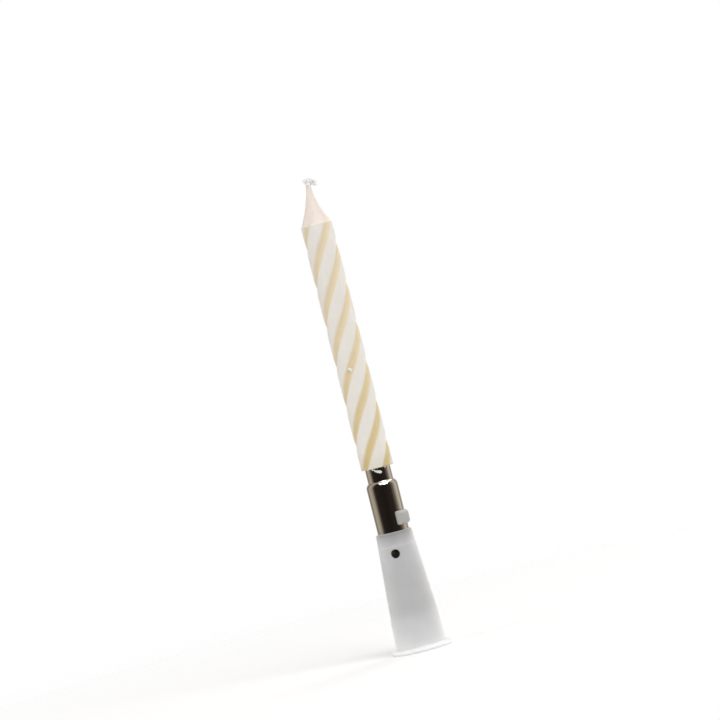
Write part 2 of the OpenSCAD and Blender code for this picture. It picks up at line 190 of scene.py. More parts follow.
def split(tree, vector):
    """The X, Y and Z of a vector, by name."""
    return add(tree, "ShaderNodeSeparateXYZ", Vector=vector).outputs


def on_piece(tree):
    """The place on a piece, in Object coordinates."""
    return add(tree, "ShaderNodeTexCoord").outputs["Object"]


def new_group(name, kind, inputs, outputs):
    """An empty node group with its sockets; returns the tree, its inputs and its output node."""
    tree = bpy.data.node_groups.new(name, kind)
    for label, socket_type in inputs:
        tree.interface.new_socket(label, in_out="INPUT", socket_type=socket_type)
    for label, socket_type in outputs:
        tree.interface.new_socket(label, in_out="OUTPUT", socket_type=socket_type)
    return tree, tree.nodes.new("NodeGroupInput").outputs, tree.nodes.new("NodeGroupOutput")


FLOAT, INT, GEOMETRY = "NodeSocketFloat", "NodeSocketInt", "NodeSocketGeometry"

# %% [markdown]
# ## World, floor and lamps
#
# Bright metal shows what stands around it, so the world matters more than the lamps. A photographer
# keeps the room dark behind the camera, puts pale screens at the sides and hangs a softbox overhead: the
# barrel then reads as a dark stripe between two pale ones. Glossy rays see that room, and the white
# background where they look past the candle. Diffuse rays see an even soft light, and camera and
# transmission rays see plain white.

# %% World
scene = bpy.context.scene
world = bpy.data.worlds.new("studio")
world.use_nodes = True
scene.world = world
sky = world.node_tree
sky.nodes.clear()

ROOM = (
    # bearing from the front in degrees, and the colour that metal sees there
    (-180, (1.00, 1.00, 1.00)),
    (-160, (0.76, 0.70, 0.64)),
    (-138, (0.20, 0.17, 0.13)),
    (-112, (0.54, 0.48, 0.40)),
    (-86, (0.42, 0.36, 0.30)),
    (-73, (0.14, 0.11, 0.09)),
    (-60, (0.025, 0.019, 0.014)),
    (0, (0.015, 0.011, 0.009)),
    (56, (0.030, 0.023, 0.017)),
    (77, (0.17, 0.14, 0.11)),
    (101, (0.58, 0.51, 0.43)),
    (115, (0.76, 0.68, 0.57)),
    (131, (0.33, 0.28, 0.22)),
    (152, (0.58, 0.52, 0.45)),
    (180, (1.00, 1.00, 1.00)),
)
# Edges of the softbox, as slopes from the candle: to its left and right, and behind and before it
SOFTBOX_SIDES = (-0.27, 0.85)
SOFTBOX_ENDS = (-1.2, 1.05)
SOFTBOX_BLUR = 0.08
SOFTBOX_COLOUR = (2.0, 1.98, 1.94, 1)
SOFT_LIGHT = 0.69
# How steeply a ray has to point up to meet the softbox, and the least rise that a slope is taken from
SOFTBOX_RISE = (0.3, 0.4)
LEAST_RISE = 0.05

direction = split(sky, add(sky, "ShaderNodeTexCoord").outputs["Generated"])
ahead = calc(sky, "MULTIPLY", direction["Y"], -1.0)
bearing = calc(sky, "ARCTAN2", direction["X"], ahead)
room = colour_band(sky, ramp(sky, bearing, -math.pi, math.pi),
                   [(degrees / 360 + 0.5, colour) for degrees, colour in ROOM])
softbox = ramp(sky, direction["Z"], *SOFTBOX_RISE)
for distance, edges in ((direction["X"], SOFTBOX_SIDES), (ahead, SOFTBOX_ENDS)):
    slope = calc(sky, "DIVIDE", distance, calc(sky, "MAXIMUM", direction["Z"], LEAST_RISE))
    for edge, low, high in zip(edges, (0.0, 1.0), (1.0, 0.0)):
        within = ramp(sky, slope, edge - SOFTBOX_BLUR, edge + SOFTBOX_BLUR, low, high, smooth=True)
        softbox = calc(sky, "MULTIPLY", softbox, within)
room_colour = mixed(sky, softbox, room, SOFTBOX_COLOUR)
print("bearings in the room:", len(ROOM))

# %% What each ray sees
rays = add(sky, "ShaderNodeLightPath").outputs
soft = add(sky, "ShaderNodeBackground", Color=(1, 1, 1, 1), Strength=SOFT_LIGHT)
mirror_room = add(sky, "ShaderNodeBackground", Color=room_colour, Strength=1.0)
white = add(sky, "ShaderNodeBackground", Color=(1, 1, 1, 1), Strength=1.0)
for_metal = mixed_shader(sky, rays["Is Glossy Ray"], soft, mirror_room)
seen_through = calc(sky, "MAXIMUM", rays["Is Camera Ray"], rays["Is Transmission Ray"])
for_camera = mixed_shader(sky, seen_through, for_metal, white)
add(sky, "ShaderNodeOutputWorld", Surface=for_camera.outputs[0])
print("nodes in the world:", len(sky.nodes))

# %% [markdown]
# The floor is a pale disc that fades out with distance, so that it carries the candle's shadow and
# no horizon shows behind it. The fade is a mix with a transparent shader along the radius.

# %% Floor
FLOOR_RADIUS = 0.6
FADE_START, FADE_END = 0.05, 0.26
FLOOR_COLOUR = (0.90, 0.895, 0.885, 1)
FLOOR_ROUGHNESS = 0.8


def piece_from(shape, name, material):
    """Turns a bmesh into an object in the scene, with one material."""
    mesh = bpy.data.meshes.new(name)
    shape.to_mesh(mesh)
    shape.free()
    mesh.materials.append(material)
    piece = bpy.data.objects.new(name, mesh)
    scene.collection.objects.link(piece)
    return piece


floor_material = bpy.data.materials.new("pale_floor")
floor_material.use_nodes = True
tree = floor_material.node_tree
matte = tree.nodes["Principled BSDF"]
matte.inputs["Base Color"].default_value = FLOOR_COLOUR
matte.inputs["Roughness"].default_value = FLOOR_ROUGHNESS
far_out = ramp(tree, vector_calc(tree, "LENGTH", on_piece(tree)), FADE_START, FADE_END, smooth=True)
faded = mixed_shader(tree, far_out, matte, add(tree, "ShaderNodeBsdfTransparent"))
plug(tree, tree.nodes["Material Output"].inputs["Surface"], faded.outputs[0])

shape = bmesh.new()
bmesh.ops.create_circle(shape, cap_ends=True, segments=96, radius=FLOOR_RADIUS)
floor = piece_from(shape, "floor", floor_material)
print("floor radius:", FLOOR_RADIUS, "m")

# %% Lamps
LAMPS = (
    # name, place in metres, size, power in watts, whether metal shows it
    ("key_softbox", (0.26, -0.36, 0.62), 0.36, 2.35, True),
    ("left_fill", (-0.62, -0.15, 0.22), 0.40, 1.0, False),
    ("back_fill", (0.45, 0.45, 0.30), 0.40, 1.1, False),
)
LAMP_TARGET = Vector((0, 0, 65)) * MM

for name, place, size, power, in_metal in LAMPS:
    lamp = bpy.data.lights.new(name, "AREA")
    lamp.size = size
    lamp.energy = power
    lamp_object = bpy.data.objects.new(name, lamp)
    lamp_object.location = place
    lamp_object.rotation_euler = (LAMP_TARGET - Vector(place)).to_track_quat("-Z", "Y").to_euler()
    lamp_object.visible_camera = False
    lamp_object.visible_glossy = in_metal
    scene.collection.objects.link(lamp_object)
print("lamps:", [name for name, *_ in LAMPS])

# %% [markdown]
# ## Finishes
#
# No real surface is one flat colour. Moulded and plated pieces share the same small faults: faint
# cloudiness, uneven gloss and a fine skin. One shader group makes these from noise on Object
# coordinates, and each material mixes it in with its own strength. `Along` squeezes the pattern's
# height: well below 1 it turns the specks into the upright lines that drawing leaves in sheet metal.

# %% A group for handled surfaces
handled, given, result = new_group(
    "handled_surface", "ShaderNodeTree",
    [(label, FLOAT) for label in ("Cloud Scale", "Grain Scale", "Along", "Gloss", "Gloss Spread")],
    [(label, FLOAT) for label in ("Cloud", "Roughness", "Height")],
)
here = vector_calc(handled, "MULTIPLY", on_piece(handled), joined(handled, X=1.0, Y=1.0, Z=given["Along"]))
cloud = add(handled, "ShaderNodeTexNoise", Vector=here, Scale=given["Cloud Scale"], Detail=3.0)
grain = add(handled, "ShaderNodeTexNoise", Vector=here, Scale=given["Grain Scale"], Detail=2.0)
drift = calc(handled, "SUBTRACT", cloud.outputs["Fac"], 0.5)
plug(handled, result.inputs["Cloud"], cloud.outputs["Fac"])
plug(handled, result.inputs["Roughness"],
     calc(handled, "MULTIPLY_ADD", drift, given["Gloss Spread"], given["Gloss"]))
plug(handled, result.inputs["Height"], grain.outputs["Fac"])
print("handled surface gives:", [socket.name for socket in result.inputs if socket.name])

# %% Metal and plastic finishes


def finish(name, colour, dark, gloss, spread, bump, cloud_scale=300, grain_scale=4000, along=1.0,
           clouds=(0.3, 0.7), skin_depth=0.02, **fixed):
    """A material that drifts between two colours; fixed values go on the shader's own sockets."""
    material = bpy.data.materials.new(name)
    material.use_nodes = True
    tree = material.node_tree
    shader = tree.nodes["Principled BSDF"].inputs
    faults = add(tree, "ShaderNodeGroup", {"node_tree": handled}, Cloud_Scale=cloud_scale,
                 Grain_Scale=grain_scale, Along=along, Gloss=gloss, Gloss_Spread=spread).outputs
    tint = mixed(tree, ramp(tree, faults["Cloud"], *clouds), (*dark, 1), (*colour, 1))
    relief = add(tree, "ShaderNodeBump", Strength=bump, Distance=skin_depth * MM, Height=faults["Height"])
    plug(tree, shader["Base Color"], tint)
    plug(tree, shader["Roughness"], faults["Roughness"])
    plug(tree, shader["Normal"], relief.outputs[0])
    for label, value in fixed.items():
        shader[label.replace("_", " ")].default_value = value
    return material


plating = finish("bright_plating", (0.70, 0.68, 0.655), (0.65, 0.63, 0.605), 0.06, 0.05, 0.012,
                 cloud_scale=700, grain_scale=3000, along=0.05, Metallic=1.0)
MILKY = {"IOR": 1.45, "Subsurface_Weight": 0.25, "Subsurface_Radius": (1, 1, 1),
         "Subsurface_Scale": 0.6 * MM, "Sheen_Weight": 0.5, "Sheen_Roughness": 0.3}
milky = finish("milky_plastic", (0.80, 0.80, 0.79), (0.75, 0.75, 0.745), 0.30, 0.10, 0.06,
               cloud_scale=220, Transmission_Weight=0.2, **MILKY)
button_plastic = finish("button_plastic", (0.52, 0.51, 0.485), (0.47, 0.46, 0.44), 0.34, 0.10, 0.03,
                        cloud_scale=220, Transmission_Weight=0.2, **MILKY)
print("finishes so far:", plating.name, milky.name, button_plastic.name)

# %% [markdown]
# The base is one moulding of one plastic, and its changes of grey are painted light and shade. The plastic
# is natural and lets light in: the solid flange looks almost white, the wall is greyer where the dark
# works stand behind it, and greyest round the metal barrel that is plugged into its top. All of that
# depends on height alone, so a colour ramp of painted greys over the height of the Object coordinates
# multiplies the plain finish.

# %% Painted shade of the base by height
PAINTED_BASE_SHADE = (
    # height in millimetres, and the painted grey there, which stands in for light and shade
    (0.0, 0.91), (1.1, 0.89), (1.7, 0.80), (2.8, 0.70), (5.5, 0.64), (7.6, 0.615), (9.2, 0.575),
    (10.6, 0.525), (12.2, 0.507), (20.0, 0.51), (28.3, 0.535), (28.6, 0.605), (28.9, 0.55), (30.2, 0.46),
    (31.2, 0.388), (32.3, 0.25),
)
base_plastic = finish(
    "base_plastic", (0.99, 0.995, 1.0), (0.94, 0.945, 0.95), 0.30, 0.10, 0.06, cloud_scale=220,
    **dict(MILKY, Subsurface_Weight=1.0, Subsurface_Scale=2.0 * MM, Sheen_Weight=1.0,
           Sheen_Roughness=0.5, Coat_Weight=0.8, Coat_Roughness=0.12))


def recolour(material, change):
    """Sends a material's colour through one more step, on its way to the shader."""
    tree = material.node_tree
    socket = tree.nodes["Principled BSDF"].inputs["Base Color"]
    plug(tree, socket, change(tree, socket.links[0].from_socket))


def with_painted_base_shade(tree, colour):
    """A colour, multiplied by the painted shade for its height on the base."""
    top = PAINTED_BASE_SHADE[-1][0]
    height = ramp(tree, split(tree, on_piece(tree))["Z"], 0.0, top * MM)
    greys = colour_band(tree, height, [(level / top, (grey, grey, grey)) for level, grey in PAINTED_BASE_SHADE])
    return mixed(tree, 1.0, colour, greys, "MULTIPLY")


# The base's colour is multiplied by the painted light and shade for its height
recolour(base_plastic, with_painted_base_shade)
print("shades up the base:", len(PAINTED_BASE_SHADE))

# %% [markdown]
# Wax is its own case. Light goes a little way in and comes out again, which is subsurface scattering,
# and the surface has a faint bloom. The cream colour of the grooves follows the twist, so the mesh
# carries it as an attribute named `groove` and the material only reads it. The dye is strongest at the
# foot and paler above, which is a ramp over height. Round the metal neck the wax also gets a painted
# shade, another ramp over height, which darkens its colour where the neck inside would let less light
# through.

# %% Wax finishes
WHITE_WAX = (0.79, 0.755, 0.70)
# The tip's wax is white like the rest; its warm, pinkish tint is painted light, standing in for reddish
# light that shines through the thin tip
TIP_WAX_WITH_PAINTED_WARMTH = (0.78, 0.69, 0.62)
CREAM_LOW = (0.655, 0.525, 0.275, 1)
CREAM_HIGH = (0.735, 0.61, 0.395, 1)
CREAM_SPAN = (55 * MM, 82 * MM)
# Painted shade: round the metal neck the wax's colour is darkened, standing in for the light that the neck
# inside keeps back
PAINTED_NECK_SHADE = (0.90, 0.885, 0.845, 1)
NECK_SPAN = (50.5 * MM, 54.5 * MM)
BLOOM = 0.965


def wax(name, colour, gloss):
    """Wax with a faint bloom, which lets light a little way in."""
    return finish(
        name, colour, [BLOOM * part for part in colour], gloss, 0.16, 0.25, cloud_scale=420,
        grain_scale=2600, clouds=(0.35, 0.75), skin_depth=0.03, IOR=1.44, Subsurface_Weight=0.35,
        Subsurface_Radius=(1.0, 0.85, 0.65), Subsurface_Scale=0.7 * MM)


def striped(tree, colour):
    """A colour with cream in the grooves, and a painted shade round the neck."""
    height = split(tree, on_piece(tree))["Z"]
    dye = mixed(tree, ramp(tree, height, *CREAM_SPAN), CREAM_LOW, CREAM_HIGH)
    groove = add(tree, "ShaderNodeAttribute", {"attribute_name": "groove"}).outputs["Fac"]
    # How much of the painted neck shade applies, by height
    at_neck = ramp(tree, height, *NECK_SPAN, 1.0, 0.0, smooth=True)
    return mixed(tree, at_neck, mixed(tree, groove, colour, dye), PAINTED_NECK_SHADE, "MULTIPLY")


striped_wax = wax("striped_wax", WHITE_WAX, 0.38)
recolour(striped_wax, striped)
tip_wax = wax("tip_wax", TIP_WAX_WITH_PAINTED_WARMTH, 0.50)
loose_wax = wax("loose_wax", WHITE_WAX, 0.42)
print("wax finishes:", striped_wax.name, tip_wax.name, loose_wax.name)

# %% [markdown]
# ## The twisted candle
#
# The candle is a rule more than a shape: four soft grooves wound round the axis at a steady pitch, with
# round ridges between them. Modelling that by hand would take hours, so a Geometry Nodes tree bends a
# flat grid into it. One side of the grid goes round the candle and the other runs over its whole skin:
# from the bottom of the socket down to the lower rim, up the twist, across the small ledge, up the tip
# and in to the wick. Because the grid's columns follow the ridges, the grooves stay clean however fine
# or coarse the grid is, and since it starts and ends on the axis the wax is a closed solid.

# %% Candle sizes
wax_low, wax_high = span("candle_wax")
CANDLE_RIDGE_R = 4.35
CANDLE_TOP_R = 4.225
CANDLE_NECK_R = 3.45
CANDLE_TIP_R = 0.68
CANDLE_TIP_LEN = 10.7
CANDLE_PITCH = 43.2
CANDLE_STARTS = 4
CANDLE_TURN = math.radians(33.5 - 90)
GROOVE_DEPTH = 0.5
GROOVE_HALF = 0.28
FOOT_FLARE = 0.06
TIP_LEDGE = 0.25
LEDGE_ROUND = 0.2
TIP_LEAN = 0.45
RAGGED_RIM = 0.22
WICK_R = 0.5
candle_body_len = wax_high.z - wax_low.z - CANDLE_TIP_LEN
SOCKET_DEPTH = span("ferrule")[1].z - wax_low.z
# Shares of the grid's height at which the socket's floor and wall, the rim, the twist, the ledge, the
# tip and its lip end
FLOOR_END, WALL_END, RIM_END = 0.01, 0.03, 0.045
TWIST_END, LEDGE_END, TIP_END, LIP_END = 0.81, 0.83, 0.975, 0.99
print("twisted length:", round(candle_body_len, 2), "mm")

# %% Candle grid
CANDLE_SIZES = (
    ("Foot Height", wax_low.z), ("Body Length", candle_body_len), ("Tip Length", CANDLE_TIP_LEN),
    ("Ridge Radius", CANDLE_RIDGE_R), ("Top Radius", CANDLE_TOP_R), ("Neck Radius", CANDLE_NECK_R),
    ("Tip Radius", CANDLE_TIP_R), ("Groove Half", GROOVE_HALF),
    ("Wick Radius", WICK_R), ("Groove Depth", GROOVE_DEPTH), ("Ledge", TIP_LEDGE),
    ("Flare", FOOT_FLARE), ("Pitch", CANDLE_PITCH), ("Lean", TIP_LEAN), ("Ragged", RAGGED_RIM),
    ("Socket", SOCKET_DEPTH), ("Ledge Round", LEDGE_ROUND),
)
CANDLE_COUNTS = (("Starts", CANDLE_STARTS), ("Columns", 201), ("Rows", 341))


def new_tree(name, sizes, counts):
    """A geometry tree whose inputs are its sizes and counts; returns what new_group does."""
    inputs = [("Mesh", GEOMETRY)] + [(n, FLOAT) for n, _ in sizes] + [(n, INT) for n, _ in counts]
    return new_group(name, "GeometryNodeTree", inputs, [("Mesh", GEOMETRY)])


def position(tree):
    """Where each point is at that step."""
    return add(tree, "GeometryNodeInputPosition").outputs[0]


candle_tree, size, made = new_tree("twisted_candle", CANDLE_SIZES, CANDLE_COUNTS)
g = candle_tree
grid = add(g, "GeometryNodeMeshGrid", Size_X=1.0, Size_Y=1.0,
           Vertices_X=size["Columns"], Vertices_Y=size["Rows"])
flat = split(g, position(g))
around, along = (calc(g, "ADD", flat[axis], 0.5) for axis in "XY")
socket_floor = ramp(g, along, 0.0, FLOOR_END)
socket_wall = ramp(g, along, FLOOR_END, WALL_END, 1.0, 0.0)
rim = ramp(g, along, WALL_END, RIM_END)
climb = ramp(g, along, RIM_END, TWIST_END)
ledge = ramp(g, along, TWIST_END, LEDGE_END)
taper = ramp(g, along, LEDGE_END, TIP_END)
lip = ramp(g, along, TIP_END, LIP_END)
closing = ramp(g, along, LIP_END, 1.0, 1.0, 0.0)
# The ledge's edge is rolled over, a quarter turn from the twist to the tip
rolled = calc(g, "MULTIPLY", ledge, math.pi / 2)
roll_rise = calc(g, "MULTIPLY", calc(g, "SINE", rolled), size["Ledge Round"])
above_roll = calc(g, "SUBTRACT", size["Tip Length"], size["Ledge Round"])
tip_rise = calc(g, "MULTIPLY_ADD", taper, above_roll, roll_rise)
rise = calc(g, "MULTIPLY_ADD", climb, size["Body Length"], tip_rise)
print("candle grid:", dict(CANDLE_COUNTS))

# %% Grooves and radius
GROOVE_FADE, TIP_CURVE = 2.0, 1.6
FLARE_SHARE = 0.02


def between(tree, share, start, end):
    """The value at a share of the way from start to end."""
    return calc(tree, "MULTIPLY_ADD", calc(tree, "SUBTRACT", end, start), share, start)


# A phase from -0.5 to 0.5 from the middle of each groove, and the dip that it gives
turns = calc(g, "MULTIPLY", around, size["Starts"])
phase = calc(g, "SUBTRACT", calc(g, "FRACT", calc(g, "ADD", turns, 0.5)), 0.5)
off_middle = calc(g, "MINIMUM", calc(g, "DIVIDE", calc(g, "ABSOLUTE", phase), size["Groove Half"]), 1.0)
hollow = calc(g, "MULTIPLY_ADD", calc(g, "COSINE", calc(g, "MULTIPLY", off_middle, math.pi)), 0.5, 0.5)
fade = calc(g, "SUBTRACT", 1.0, taper)
depth = calc(g, "MULTIPLY", size["Groove Depth"], calc(g, "POWER", fade, GROOVE_FADE))
dip = calc(g, "MULTIPLY", hollow, depth)

foot = calc(g, "MULTIPLY", size["Flare"], ramp(g, climb, 0.0, FLARE_SHARE, 1.0, 0.0, smooth=True))
ridge = ramp(g, climb, 0.0, 1.0, size["Ridge Radius"], size["Top Radius"])
outer = calc(g, "ADD", calc(g, "SUBTRACT", ridge, dip), foot)
stepped_in = calc(g, "SUBTRACT", 1.0, calc(g, "COSINE", rolled))
outer = calc(g, "SUBTRACT", outer, calc(g, "MULTIPLY", stepped_in, size["Ledge"]))
drawn = between(g, calc(g, "POWER", fade, TIP_CURVE), size["Tip Radius"], outer)
rimmed = between(g, rim, size["Neck Radius"], drawn)
lipped = between(g, lip, rimmed, size["Wick Radius"])
radius = calc(g, "MULTIPLY", lipped, calc(g, "MULTIPLY", socket_floor, closing))
print("grooves:", CANDLE_STARTS, "of", GROOVE_DEPTH, "mm")

# %% Winding
LEAN_CURVE = 2.2
RIM_SHARE = 0.012
NICK_SCALE, NICK_MIDDLE = 3.2, 0.45

spin = calc(g, "MULTIPLY", calc(g, "DIVIDE", rise, size["Pitch"]), math.tau)
angle = calc(g, "ADD", calc(g, "MULTIPLY_ADD", around, math.tau, spin), CANDLE_TURN)
lean = calc(g, "MULTIPLY", size["Lean"], calc(g, "POWER", taper, LEAN_CURVE))
cosine, sine = calc(g, "COSINE", angle), calc(g, "SINE", angle)
# The lower rim was cut while the wax was soft, so its edge rises and falls a little
nicks = add(g, "ShaderNodeTexNoise", Vector=joined(g, X=cosine, Y=sine), Scale=NICK_SCALE, Detail=3.0)
at_rim = ramp(g, climb, 0.0, RIM_SHARE, 1.0, 0.0, smooth=True)
up_or_down = calc(g, "MULTIPLY", size["Ragged"], calc(g, "SUBTRACT", nicks.outputs["Fac"], NICK_MIDDLE))
ragged = calc(g, "MULTIPLY", calc(g, "MULTIPLY", at_rim, rim), up_or_down)
from_foot = calc(g, "MULTIPLY_ADD", socket_wall, size["Socket"], rise)
wound = joined(g, X=calc(g, "MULTIPLY_ADD", radius, cosine, lean), Y=calc(g, "MULTIPLY", radius, sine),
               Z=calc(g, "ADD", from_foot, calc(g, "ADD", ragged, size["Foot Height"])))
print("one turn every", CANDLE_PITCH, "mm")

# %% Cream and skin
CREAM_EDGES = ((-0.255, -0.08), (0.12, 0.29))
CREAM_PALER_FROM, CREAM_PALER = 0.4, 0.80
WOBBLE = 0.07 * MM
WOBBLE_SCALE = 330.0
TIP_FROM = 0.95


def roughened(tree, geometry, place, scale, detail, middle, amount):
    """Moves a skin in and out along its normals, by noise."""
    noise = add(tree, "ShaderNodeTexNoise", Vector=place, Scale=scale, Detail=detail)
    push = calc(tree, "MULTIPLY", calc(tree, "SUBTRACT", noise.outputs["Fac"], middle), amount)
    shove = times(tree, add(tree, "GeometryNodeInputNormal").outputs[0], push)
    return add(tree, "GeometryNodeSetPosition", Geometry=geometry, Offset=shove).outputs[0]


cream = calc(g, "MULTIPLY", ramp(g, phase, *CREAM_EDGES[0], smooth=True),
             ramp(g, phase, *CREAM_EDGES[1], 1.0, 0.0, smooth=True))
paler = ramp(g, climb, CREAM_PALER_FROM, 1.0, 1.0, CREAM_PALER)
cream = calc(g, "MULTIPLY", cream, calc(g, "MULTIPLY", paler, calc(g, "SUBTRACT", 1.0, ledge)))
marked = grid.outputs["Mesh"]
for label, value in (("groove", cream), ("tip", ledge)):
    marked = add(g, "GeometryNodeStoreNamedAttribute", {"data_type": "FLOAT", "domain": "POINT"},
                 Geometry=marked, Name=label, Value=value).outputs[0]
bent = add(g, "GeometryNodeSetPosition", Geometry=marked, Position=times(g, wound, MM))
sewn = add(g, "GeometryNodeMergeByDistance", Geometry=bent.outputs[0], Distance=1e-4 * MM)
# Hand-dipped wax is never quite true: a slow noise moves the skin by a few hundredths of a millimetre
uneven_skin = roughened(g, sewn.outputs[0], position(g), WOBBLE_SCALE, 2.0, 0.5, WOBBLE)
smooth = add(g, "GeometryNodeSetShadeSmooth", Geometry=uneven_skin)
whole = add(g, "GeometryNodeRealizeInstances", Geometry=smooth.outputs[0])
body_wax = add(g, "GeometryNodeSetMaterial", Geometry=whole.outputs[0], Material=striped_wax)
is_tip = add(g, "GeometryNodeInputNamedAttribute", {"data_type": "FLOAT"}, Name="tip")
all_wax = add(g, "GeometryNodeSetMaterial", Geometry=body_wax.outputs[0], Material=tip_wax,
              Selection=calc(g, "GREATER_THAN", is_tip.outputs[0], TIP_FROM))
plug(g, made.inputs["Mesh"], all_wax.outputs[0])
print("nodes in the candle's tree:", len(g.nodes))

# %% [markdown]
# A modifier runs the tree. Its inputs are set by each socket's identifier before the object is first
# evaluated. The result is then turned into a plain mesh, because instances and live modifiers don't
# travel to other programs.

# %% Grow the candle


def grow(name, tree, **inputs):
    """Runs a geometry tree on an empty mesh and keeps the result as a plain mesh."""
    grown = bpy.data.objects.new(name, bpy.data.meshes.new(name))
    scene.collection.objects.link(grown)
    modifier = grown.modifiers.new(tree.name, "NODES")
    modifier.node_group = tree
    for item in tree.interface.items_tree:
        if item.in_out == "INPUT" and item.name in inputs:
            modifier[item.identifier] = inputs[item.name]
    return plain(grown)


def plain(thing):
    """Applies what the modifiers make, so that the object is an ordinary mesh."""
    graph = bpy.context.evaluated_depsgraph_get()
    graph.update()
    mesh = bpy.data.meshes.new_from_object(
        thing.evaluated_get(graph), preserve_all_data_layers=True, depsgraph=graph)
    thing.modifiers.clear()
    thing.data = mesh
    mesh.name = thing.name
    return thing


candle = grow("twisted_candle", candle_tree, **dict(CANDLE_SIZES), **dict(CANDLE_COUNTS))
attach(candle, "candle_body")
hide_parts("candle_wax")
print("candle faces:", len(candle.data.polygons))

# %% [markdown]
# ## The frayed wick
#
# Above the wax the cotton opens into single strands: a dense, flat-topped tuft, with three bunches of
# wisps that hang over to the right. Each strand is a thin curve, and what makes them look cut and
# handled is that no two stand alike. So one strand is drawn once, and a tree places it on two patches of
# points, for the tuft and for the wisps, with a random turn, tilt and length from a fixed seed. A combed
# core fills both, so that no dark gap shows between them. The scissors are a limit on the height.

# %% One strand
wick_high = span("wick")[1]
WICK_SIZES = (("Strand Length", 1.7), ("Strand Radius", 0.038), ("Patch", 0.48), ("Splay", 0.46),
              ("Wisp Length", 1.25), ("Cut", wick_high.z - wax_high.z - 0.03))
WICK_COUNTS = (("Strands", 260), ("Wisps", 84), ("Seed", 5))
STRAND_BEND = 0.6
STRAND_BOW = 0.25

wick_tree, size, made = new_tree("frayed_wick", WICK_SIZES, WICK_COUNTS)
g = wick_tree
length = calc(g, "MULTIPLY", size["Strand Length"], MM)
bow = add(g, "GeometryNodeCurveQuadraticBezier", Resolution=6, Start=(0, 0, 0),
          Middle=joined(g, Z=calc(g, "MULTIPLY", length, STRAND_BEND)),
          End=joined(g, X=calc(g, "MULTIPLY", length, STRAND_BOW), Z=length))
ring = add(g, "GeometryNodeCurvePrimitiveCircle", Resolution=5,
           Radius=calc(g, "MULTIPLY", size["Strand Radius"], MM))
strand = add(g, "GeometryNodeCurveToMesh", Curve=bow.outputs[0], Profile_Curve=ring.outputs[0],
             Fill_Caps=True)
print("strands and wisps:", dict(WICK_COUNTS))

# %% Tuft and wisps
BUNCHES = 3.0
BUNCH_TILTS = (0.80, 1.55)


def any_of(low, high, offset):
    """A random vector for each point of the tree in hand; offset keeps the draws apart."""
    node = add(g, "FunctionNodeRandomValue", {"data_type": "FLOAT_VECTOR"})
    plug(g, node.inputs[0], low)
    plug(g, node.inputs[1], high)
    plug(g, node.inputs["Seed"], calc(g, "ADD", size["Seed"], offset))
    return node.outputs[0]


patch = calc(g, "MULTIPLY", size["Patch"], MM)
spots = add(g, "GeometryNodePoints", Count=size["Strands"],
            Position=times(g, any_of((-1, -1, -0.6), (1, 1, 0.3), 0.0), patch))
tilt = times(g, any_of((-1, -1, 0), (1, 1, 0), 11.0), size["Splay"])
# A leaning strand is longer, so that all of them end near the cut
to_cut = calc(g, "DIVIDE", calc(g, "DIVIDE", size["Cut"], size["Strand Length"]),
              calc(g, "COSINE", vector_calc(g, "LENGTH", tilt)))
tuft = add(g, "GeometryNodeInstanceOnPoints", Points=spots.outputs[0], Instance=strand.outputs[0],
           Rotation=vector_calc(g, "ADD", tilt, any_of((0, 0, 0), (0, 0, math.tau), 23.0)),
           Scale=times(g, any_of((0.8, 0.8, 0.72), (1.1, 1.1, 1.05), 37.0), to_cut))

# The wisps lie in three bunches, from one that leans to one that lies almost flat
bunch = calc(g, "MODULO", add(g, "GeometryNodeInputIndex").outputs[0], BUNCHES)
towards = joined(g, Y=ramp(g, bunch, 0.0, BUNCHES - 1, *BUNCH_TILTS))
wisp_spots = add(g, "GeometryNodePoints", Count=size["Wisps"],
                 Position=times(g, any_of((0.2, -0.7, -0.2), (1.2, 0.7, 0.6), 41.0), patch))
wisp_scale = vector_calc(g, "MULTIPLY", any_of((0.9, 0.9, 0.65), (1.2, 1.2, 1.0), 53.0),
                         joined(g, X=1.0, Y=1.0, Z=size["Wisp Length"]))
wisp_turn = vector_calc(g, "ADD", towards, any_of((-0.25, -0.14, -0.3), (0.25, 0.14, 0.3), 67.0))
wisps = add(g, "GeometryNodeInstanceOnPoints", Points=wisp_spots.outputs[0], Instance=strand.outputs[0],
            Rotation=wisp_turn, Scale=wisp_scale)
print("bunches tilt from", BUNCH_TILTS[0], "to", BUNCH_TILTS[1])

# %% Core
CORE_DEPTH, CORE_DROP = 1.6, 0.6
BRUSH_TOP_R, BRUSH_FOOT_R, BRUSH_DEPTH = 1.12, 0.6, 1.35
# Fibres run up the brush, so the noise that combs it is drawn out in height
FIBRE_STRETCH = (1, 1, 0.15)
FIBRE_SCALE, FIBRE_MIDDLE, FLUFF = 5600.0, 0.45, 0.5
# Two copies of the brush fill the wisps: their tilt and width
LOBES = ((0.95, 0.55), (1.50, 0.34))
LOBE_PLACE = Vector((0.25, 0, 0.55)) * MM
LOBE_LENGTH = 1.12

